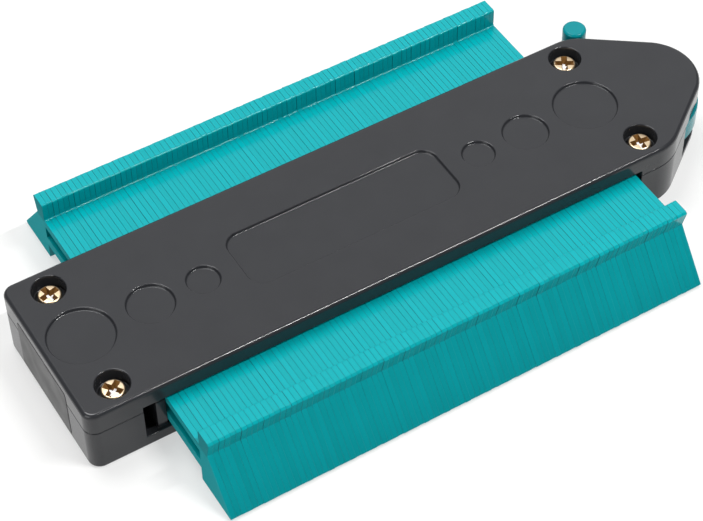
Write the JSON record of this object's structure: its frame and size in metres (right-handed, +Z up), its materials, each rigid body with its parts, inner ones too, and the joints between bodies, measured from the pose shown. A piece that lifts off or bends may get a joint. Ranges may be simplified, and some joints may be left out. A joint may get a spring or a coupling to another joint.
{
  "type": "contour gauge",
  "caption": "Contour gauge: thin plastic lamellae slide through a long black case with a pointed nose, and a cam lever in the nose locks the copied outline.",
  "frame": {"origin": "under the middle of the lamella stack, on the case's centre line, on its flat base", "axes": "+X along the case towards the nose, +Y towards the lever's side, +Z up from the base"},
  "size_m": [0.1785, 0.103, 0.0186],
  "materials": {
    "black_abs": "satin moulded",
    "teal_abs": "semi-gloss moulded",
    "yellow_zinc": "yellow zinc plate",
    "bar_steel": "drawn bright"
  },
  "bodies": {
    "case": {"lower_case": "black_abs", "upper_cover": "black_abs", "case_screws": "yellow_zinc", "guide_bar_front": "bar_steel", "guide_bar_rear": "bar_steel", "pivot_pin": "bar_steel"},
    "clamp_plate": {"clamp_plate": "bar_steel"},
    "lock_lever": {"lock_lever": "teal_abs"},
    "lamella_set_01": {"lamella_set_01": "teal_abs"},
    "lamella_set_02": {"lamella_set_02": "teal_abs"},
    "lamella_set_03": {"lamella_set_03": "teal_abs"},
    "lamella_set_04": {"lamella_set_04": "teal_abs"},
    "lamella_set_05": {"lamella_set_05": "teal_abs"},
    "lamella_set_06": {"lamella_set_06": "teal_abs"},
    "lamella_set_07": {"lamella_set_07": "teal_abs"},
    "lamella_set_08": {"lamella_set_08": "teal_abs"},
    "lamella_set_09": {"lamella_set_09": "teal_abs"},
    "lamella_set_10": {"lamella_set_10": "teal_abs"},
    "lamella_set_11": {"lamella_set_11": "teal_abs"},
    "lamella_set_12": {"lamella_set_12": "teal_abs"},
    "lamella_set_13": {"lamella_set_13": "teal_abs"},
    "lamella_set_14": {"lamella_set_14": "teal_abs"},
    "lamella_set_15": {"lamella_set_15": "teal_abs"},
    "lamella_set_16": {"lamella_set_16": "teal_abs"},
    "lamella_set_17": {"lamella_set_17": "teal_abs"},
    "lamella_set_18": {"lamella_set_18": "teal_abs"},
    "lamella_set_19": {"lamella_set_19": "teal_abs"},
    "lamella_set_20": {"lamella_set_20": "teal_abs"},
    "lamella_set_21": {"lamella_set_21": "teal_abs"},
    "lamella_set_22": {"lamella_set_22": "teal_abs"},
    "lamella_set_23": {"lamella_set_23": "teal_abs"},
    "lamella_set_24": {"lamella_set_24": "teal_abs"},
    "lamella_set_25": {"lamella_set_25": "teal_abs"},
    "lamella_set_26": {"lamella_set_26": "teal_abs"},
    "lamella_set_27": {"lamella_set_27": "teal_abs"},
    "lamella_set_28": {"lamella_set_28": "teal_abs"},
    "lamella_set_29": {"lamella_set_29": "teal_abs"},
    "lamella_set_30": {"lamella_set_30": "teal_abs"},
    "lamella_set_31": {"lamella_set_31": "teal_abs"},
    "lamella_set_32": {"lamella_set_32": "teal_abs"},
    "lamella_set_33": {"lamella_set_33": "teal_abs"},
    "lamella_set_34": {"lamella_set_34": "teal_abs"},
    "lamella_set_35": {"lamella_set_35": "teal_abs"},
    "lamella_set_36": {"lamella_set_36": "teal_abs"},
    "lamella_set_37": {"lamella_set_37": "teal_abs"},
    "lamella_set_38": {"lamella_set_38": "teal_abs"},
    "lamella_set_39": {"lamella_set_39": "teal_abs"},
    "lamella_set_40": {"lamella_set_40": "teal_abs"},
    "lamella_set_41": {"lamella_set_41": "teal_abs"},
    "lamella_set_42": {"lamella_set_42": "teal_abs"},
    "lamella_set_43": {"lamella_set_43": "teal_abs"},
    "lamella_set_44": {"lamella_set_44": "teal_abs"},
    "lamella_set_45": {"lamella_set_45": "teal_abs"},
    "lamella_set_46": {"lamella_set_46": "teal_abs"}
  },
  "joints": [
    {"name": "lever_turn", "type": "hinge", "parent": "case", "child": "lock_lever", "pos_m": [0.08131, 0, 0.0103], "axis": [0, 0, 1], "range_deg": [-50, 0]},
    {"name": "clamp_slide", "type": "slide", "parent": "case", "child": "clamp_plate", "axis": [1, 0, 0], "range_m": [0, 0.00051]},
    {"name": "set_01_slide", "type": "slide", "parent": "case", "child": "lamella_set_01", "axis": [0, 1, 0], "range_m": [-0.017, 0.0136]},
    {"name": "set_02_slide", "type": "slide", "parent": "case", "child": "lamella_set_02", "axis": [0, 1, 0], "range_m": [-0.017, 0.0136]},
    {"name": "set_03_slide", "type": "slide", "parent": "case", "child": "lamella_set_03", "axis": [0, 1, 0], "range_m": [-0.017, 0.0136]},
    {"name": "set_04_slide", "type": "slide", "parent": "case", "child": "lamella_set_04", "axis": [0, 1, 0], "range_m": [-0.017, 0.0136]},
    {"name": "set_05_slide", "type": "slide", "parent": "case", "child": "lamella_set_05", "axis": [0, 1, 0], "range_m": [-0.017, 0.0136]},
    {"name": "set_06_slide", "type": "slide", "parent": "case", "child": "lamella_set_06", "axis": [0, 1, 0], "range_m": [-0.017, 0.0136]},
    {"name": "set_07_slide", "type": "slide", "parent": "case", "child": "lamella_set_07", "axis": [0, 1, 0], "range_m": [-0.017, 0.0136]},
    {"name": "set_08_slide", "type": "slide", "parent": "case", "child": "lamella_set_08", "axis": [0, 1, 0], "range_m": [-0.017, 0.0136]},
    {"name": "set_09_slide", "type": "slide", "parent": "case", "child": "lamella_set_09", "axis": [0, 1, 0], "range_m": [-0.017, 0.0136]},
    {"name": "set_10_slide", "type": "slide", "parent": "case", "child": "lamella_set_10", "axis": [0, 1, 0], "range_m": [-0.017, 0.0136]},
    {"name": "set_11_slide", "type": "slide", "parent": "case", "child": "lamella_set_11", "axis": [0, 1, 0], "range_m": [-0.017, 0.0136]},
    {"name": "set_12_slide", "type": "slide", "parent": "case", "child": "lamella_set_12", "axis": [0, 1, 0], "range_m": [-0.017, 0.0136]},
    {"name": "set_13_slide", "type": "slide", "parent": "case", "child": "lamella_set_13", "axis": [0, 1, 0], "range_m": [-0.017, 0.0136]},
    {"name": "set_14_slide", "type": "slide", "parent": "case", "child": "lamella_set_14", "axis": [0, 1, 0], "range_m": [-0.017, 0.0136]},
    {"name": "set_15_slide", "type": "slide", "parent": "case", "child": "lamella_set_15", "axis": [0, 1, 0], "range_m": [-0.017, 0.0136]},
    {"name": "set_16_slide", "type": "slide", "parent": "case", "child": "lamella_set_16", "axis": [0, 1, 0], "range_m": [-0.017, 0.0136]},
    {"name": "set_17_slide", "type": "slide", "parent": "case", "child": "lamella_set_17", "axis": [0, 1, 0], "range_m": [-0.017, 0.0136]},
    {"name": "set_18_slide", "type": "slide", "parent": "case", "child": "lamella_set_18", "axis": [0, 1, 0], "range_m": [-0.017, 0.0136]},
    {"name": "set_19_slide", "type": "slide", "parent": "case", "child": "lamella_set_19", "axis": [0, 1, 0], "range_m": [-0.017, 0.0136]},
    {"name": "set_20_slide", "type": "slide", "parent": "case", "child": "lamella_set_20", "axis": [0, 1, 0], "range_m": [-0.017, 0.0136]},
    {"name": "set_21_slide", "type": "slide", "parent": "case", "child": "lamella_set_21", "axis": [0, 1, 0], "range_m": [-0.017, 0.0136]},
    {"name": "set_22_slide", "type": "slide", "parent": "case", "child": "lamella_set_22", "axis": [0, 1, 0], "range_m": [-0.017, 0.0136]},
    {"name": "set_23_slide", "type": "slide", "parent": "case", "child": "lamella_set_23", "axis": [0, 1, 0], "range_m": [-0.017, 0.0136]},
    {"name": "set_24_slide", "type": "slide", "parent": "case", "child": "lamella_set_24", "axis": [0, 1, 0], "range_m": [-0.017, 0.0136]},
    {"name": "set_25_slide", "type": "slide", "parent": "case", "child": "lamella_set_25", "axis": [0, 1, 0], "range_m": [-0.017, 0.0136]},
    {"name": "set_26_slide", "type": "slide", "parent": "case", "child": "lamella_set_26", "axis": [0, 1, 0], "range_m": [-0.017, 0.0136]},
    {"name": "set_27_slide", "type": "slide", "parent": "case", "child": "lamella_set_27", "axis": [0, 1, 0], "range_m": [-0.017, 0.0136]},
    {"name": "set_28_slide", "type": "slide", "parent": "case", "child": "lamella_set_28", "axis": [0, 1, 0], "range_m": [-0.017, 0.0136]},
    {"name": "set_29_slide", "type": "slide", "parent": "case", "child": "lamella_set_29", "axis": [0, 1, 0], "range_m": [-0.017, 0.0136]},
    {"name": "set_30_slide", "type": "slide", "parent": "case", "child": "lamella_set_30", "axis": [0, 1, 0], "range_m": [-0.017, 0.0136]},
    {"name": "set_31_slide", "type": "slide", "parent": "case", "child": "lamella_set_31", "axis": [0, 1, 0], "range_m": [-0.017, 0.0136]},
    {"name": "set_32_slide", "type": "slide", "parent": "case", "child": "lamella_set_32", "axis": [0, 1, 0], "range_m": [-0.017, 0.0136]},
    {"name": "set_33_slide", "type": "slide", "parent": "case", "child": "lamella_set_33", "axis": [0, 1, 0], "range_m": [-0.017, 0.0136]},
    {"name": "set_34_slide", "type": "slide", "parent": "case", "child": "lamella_set_34", "axis": [0, 1, 0], "range_m": [-0.017, 0.0136]},
    {"name": "set_35_slide", "type": "slide", "parent": "case", "child": "lamella_set_35", "axis": [0, 1, 0], "range_m": [-0.017, 0.0136]},
    {"name": "set_36_slide", "type": "slide", "parent": "case", "child": "lamella_set_36", "axis": [0, 1, 0], "range_m": [-0.017, 0.0136]},
    {"name": "set_37_slide", "type": "slide", "parent": "case", "child": "lamella_set_37", "axis": [0, 1, 0], "range_m": [-0.017, 0.0136]},
    {"name": "set_38_slide", "type": "slide", "parent": "case", "child": "lamella_set_38", "axis": [0, 1, 0], "range_m": [-0.017, 0.0136]},
    {"name": "set_39_slide", "type": "slide", "parent": "case", "child": "lamella_set_39", "axis": [0, 1, 0], "range_m": [-0.017, 0.0136]},
    {"name": "set_40_slide", "type": "slide", "parent": "case", "child": "lamella_set_40", "axis": [0, 1, 0], "range_m": [-0.017, 0.0136]},
    {"name": "set_41_slide", "type": "slide", "parent": "case", "child": "lamella_set_41", "axis": [0, 1, 0], "range_m": [-0.017, 0.0136]},
    {"name": "set_42_slide", "type": "slide", "parent": "case", "child": "lamella_set_42", "axis": [0, 1, 0], "range_m": [-0.017, 0.0136]},
    {"name": "set_43_slide", "type": "slide", "parent": "case", "child": "lamella_set_43", "axis": [0, 1, 0], "range_m": [-0.017, 0.0136]},
    {"name": "set_44_slide", "type": "slide", "parent": "case", "child": "lamella_set_44", "axis": [0, 1, 0], "range_m": [-0.017, 0.0136]},
    {"name": "set_45_slide", "type": "slide", "parent": "case", "child": "lamella_set_45", "axis": [0, 1, 0], "range_m": [-0.017, 0.0136]},
    {"name": "set_46_slide", "type": "slide", "parent": "case", "child": "lamella_set_46", "axis": [0, 1, 0], "range_m": [-0.017, 0.0136]}
  ],
  "couplings": [
    {"joint": "clamp_slide", "follows": "lever_turn", "m_per_rad": -0.00057296}
  ]
}
